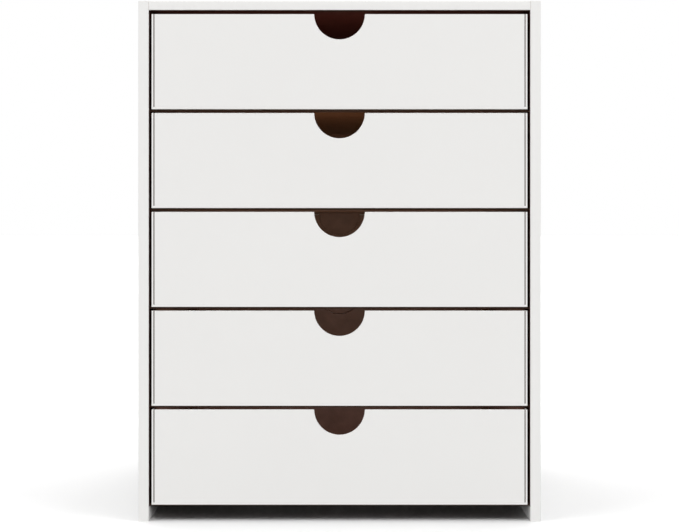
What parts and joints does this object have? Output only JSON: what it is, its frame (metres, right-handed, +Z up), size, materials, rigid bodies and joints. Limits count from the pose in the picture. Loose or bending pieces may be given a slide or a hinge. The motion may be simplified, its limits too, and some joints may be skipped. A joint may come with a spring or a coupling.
{
  "type": "tall chest of drawers",
  "caption": "White upright chest of drawers: board case open below the bottom drawer, thin-walled pull-out drawers with half-round finger notches, brown inside.",
  "frame": {"origin": "on the floor under the middle of the case", "axes": "+Z up, -Y out of the drawer fronts, +X to the right as seen from the front"},
  "size_m": [0.58, 0.4, 0.75],
  "materials": {
    "white_board": "satin white lacquer on fibreboard, brown on the faces inside the case",
    "white_faced_hardboard": "satin white outside and on its edges, brown inside",
    "brown_hardboard": "smooth dark brown, satin",
    "beech": "plain planed beech",
    "zinc_steel": "bright zinc plating",
    "zinc_alloy": "dull die-cast zinc"
  },
  "bodies": {
    "case": {"left_side_panel": "white_board", "right_side_panel": "white_board", "top_panel": "white_board", "back_panel": "brown_hardboard", "back_panel_nails": "zinc_steel", "front_rail": "white_board", "rear_rail": "white_board", "shelf_1": "brown_hardboard", "shelf_2": "brown_hardboard", "shelf_3": "brown_hardboard", "shelf_4": "brown_hardboard", "shelf_5": "brown_hardboard", "dowels": "beech", "cam_bolts": "zinc_steel", "cam_locks": "zinc_alloy"},
    "drawer_1": {"drawer_1_front": "white_faced_hardboard", "drawer_1_back": "white_faced_hardboard", "drawer_1_left_wall": "white_faced_hardboard", "drawer_1_right_wall": "white_faced_hardboard", "drawer_1_bottom": "white_faced_hardboard", "drawer_1_corner_posts": "beech", "drawer_1_screws": "zinc_steel"},
    "drawer_2": {"drawer_2_front": "white_faced_hardboard", "drawer_2_back": "white_faced_hardboard", "drawer_2_left_wall": "white_faced_hardboard", "drawer_2_right_wall": "white_faced_hardboard", "drawer_2_bottom": "white_faced_hardboard", "drawer_2_corner_posts": "beech", "drawer_2_screws": "zinc_steel"},
    "drawer_3": {"drawer_3_front": "white_faced_hardboard", "drawer_3_back": "white_faced_hardboard", "drawer_3_left_wall": "white_faced_hardboard", "drawer_3_right_wall": "white_faced_hardboard", "drawer_3_bottom": "white_faced_hardboard", "drawer_3_corner_posts": "beech", "drawer_3_screws": "zinc_steel"},
    "drawer_4": {"drawer_4_front": "white_faced_hardboard", "drawer_4_back": "white_faced_hardboard", "drawer_4_left_wall": "white_faced_hardboard", "drawer_4_right_wall": "white_faced_hardboard", "drawer_4_bottom": "white_faced_hardboard", "drawer_4_corner_posts": "beech", "drawer_4_screws": "zinc_steel"},
    "drawer_5": {"drawer_5_front": "white_faced_hardboard", "drawer_5_back": "white_faced_hardboard", "drawer_5_left_wall": "white_faced_hardboard", "drawer_5_right_wall": "white_faced_hardboard", "drawer_5_bottom": "white_faced_hardboard", "drawer_5_corner_posts": "beech", "drawer_5_screws": "zinc_steel"}
  },
  "joints": [
    {"name": "drawer_1_slide", "type": "slide", "parent": "case", "child": "drawer_1", "axis": [0, -1, 0], "range_m": [0, 0.29]},
    {"name": "drawer_2_slide", "type": "slide", "parent": "case", "child": "drawer_2", "axis": [0, -1, 0], "range_m": [0, 0.29]},
    {"name": "drawer_3_slide", "type": "slide", "parent": "case", "child": "drawer_3", "axis": [0, -1, 0], "range_m": [0, 0.29]},
    {"name": "drawer_4_slide", "type": "slide", "parent": "case", "child": "drawer_4", "axis": [0, -1, 0], "range_m": [0, 0.29]},
    {"name": "drawer_5_slide", "type": "slide", "parent": "case", "child": "drawer_5", "axis": [0, -1, 0], "range_m": [0, 0.29]}
  ]
}
